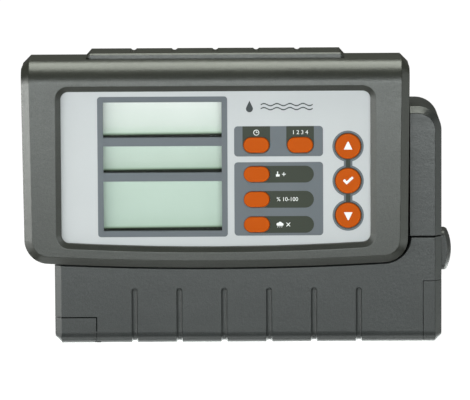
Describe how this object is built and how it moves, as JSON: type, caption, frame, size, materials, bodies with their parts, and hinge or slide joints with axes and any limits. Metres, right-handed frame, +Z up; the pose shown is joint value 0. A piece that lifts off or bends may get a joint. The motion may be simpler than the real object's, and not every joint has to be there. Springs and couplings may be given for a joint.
{
  "type": "irrigation controller",
  "caption": "Wall-mounted irrigation controller with plug-on display unit, push keys, side release button and hinged terminal cover.",
  "frame": {"origin": "centre of the wall housing's flat back face, on the wall plane", "axes": "+X to the right along the longest side as seen from the front, +Y back into the wall, +Z up"},
  "size_m": [0.2165, 0.061, 0.1472],
  "materials": {
    "unit_plastic": "fine satin texture",
    "base_plastic": "fine satin texture",
    "button_plastic": "smooth satin",
    "panel_white": "satin film",
    "key_orange": "satin",
    "silicone": "matt",
    "window_clear": "clear polished",
    "spacer_grey": "matt",
    "lcd": "reflective display glass",
    "black_rubber": "matt",
    "circuit_board": "solder-mask green",
    "chip_black": "matt",
    "connector_black": "matt",
    "terminal_grey": "satin",
    "steel": "zinc-plated",
    "battery_case": "satin",
    "door_plastic": "fine satin texture"
  },
  "bodies": {
    "wall_base": {"wall_housing": "base_plastic", "docking_frame": "base_plastic", "frame_screws": "steel", "base_circuit_board": "circuit_board", "board_screws": "steel", "base_board_parts": "chip_black", "valve_terminal_block": "terminal_grey", "sensor_terminal_block": "terminal_grey", "power_terminal_block": "terminal_grey", "terminal_screws": "steel", "cable_clamp": "connector_black", "clamp_screws": "steel", "dock_socket": "connector_black", "hinge_pins": "steel", "release_spring": "steel"},
    "control_unit": {"control_housing": "unit_plastic", "control_rear_cover": "unit_plastic", "battery": "battery_case", "battery_snap": "black_rubber", "face_panel": "panel_white", "keypad_mat": "silicone", "display_window": "window_clear", "display_spacer": "spacer_grey", "lcd_glass": "lcd", "lcd_connector_strips": "black_rubber", "control_circuit_board": "circuit_board", "control_board_parts": "chip_black", "dock_plug": "connector_black", "control_unit_screws": "steel"},
    "battery_lid": {"battery_door": "door_plastic"},
    "release": {"release_button": "button_plastic", "latch_slide": "connector_black"},
    "cover": {"terminal_cover": "base_plastic"},
    "left_shutter": {"left_cable_shutter": "base_plastic"},
    "right_shutter": {"right_cable_shutter": "base_plastic"},
    "key_time_body": {"key_time": "key_orange"},
    "key_channel_body": {"key_channel": "key_orange"},
    "key_manual_body": {"key_manual": "key_orange"},
    "key_run_time_body": {"key_run_time": "key_orange"},
    "key_rain_off_body": {"key_rain_off": "key_orange"},
    "key_up_body": {"key_up": "key_orange"},
    "key_enter_body": {"key_enter": "key_orange"},
    "key_down_body": {"key_down": "key_orange"}
  },
  "joints": [
    {"name": "control_unit_dock_slide", "type": "slide", "parent": "wall_base", "child": "control_unit", "axis": [0, -1, 0], "range_m": [0, 0.06]},
    {"name": "battery_door_slide", "type": "slide", "parent": "control_unit", "child": "battery_lid", "axis": [-1, 0, 0], "range_m": [0, 0.03]},
    {"name": "release_button_press", "type": "slide", "parent": "wall_base", "child": "release", "axis": [-1, 0, 0], "range_m": [0, 0.003], "stiffness_N_per_m": 600, "springref_m": -0.002, "deforming": ["release_spring"]},
    {"name": "terminal_cover_hinge", "type": "hinge", "parent": "wall_base", "child": "cover", "pos_m": [0, -0.0193, -0.05835], "axis": [1, 0, 0], "range_deg": [0, 90]},
    {"name": "left_shutter_slide", "type": "slide", "parent": "cover", "child": "left_shutter", "axis": [0, 0, -1], "range_m": [0, 0.01]},
    {"name": "right_shutter_slide", "type": "slide", "parent": "cover", "child": "right_shutter", "axis": [1, 0, 0], "range_m": [0, 0.005]},
    {"name": "key_time_press", "type": "slide", "parent": "control_unit", "child": "key_time_body", "axis": [0, 1, 0], "range_m": [0, 0.001], "stiffness_N_per_m": 800, "springref_m": -0.0005},
    {"name": "key_channel_press", "type": "slide", "parent": "control_unit", "child": "key_channel_body", "axis": [0, 1, 0], "range_m": [0, 0.001], "stiffness_N_per_m": 800, "springref_m": -0.0005},
    {"name": "key_manual_press", "type": "slide", "parent": "control_unit", "child": "key_manual_body", "axis": [0, 1, 0], "range_m": [0, 0.001], "stiffness_N_per_m": 800, "springref_m": -0.0005},
    {"name": "key_run_time_press", "type": "slide", "parent": "control_unit", "child": "key_run_time_body", "axis": [0, 1, 0], "range_m": [0, 0.001], "stiffness_N_per_m": 800, "springref_m": -0.0005},
    {"name": "key_rain_off_press", "type": "slide", "parent": "control_unit", "child": "key_rain_off_body", "axis": [0, 1, 0], "range_m": [0, 0.001], "stiffness_N_per_m": 800, "springref_m": -0.0005},
    {"name": "key_up_press", "type": "slide", "parent": "control_unit", "child": "key_up_body", "axis": [0, 1, 0], "range_m": [0, 0.001], "stiffness_N_per_m": 800, "springref_m": -0.0005},
    {"name": "key_enter_press", "type": "slide", "parent": "control_unit", "child": "key_enter_body", "axis": [0, 1, 0], "range_m": [0, 0.001], "stiffness_N_per_m": 800, "springref_m": -0.0005},
    {"name": "key_down_press", "type": "slide", "parent": "control_unit", "child": "key_down_body", "axis": [0, 1, 0], "range_m": [0, 0.001], "stiffness_N_per_m": 800, "springref_m": -0.0005}
  ]
}
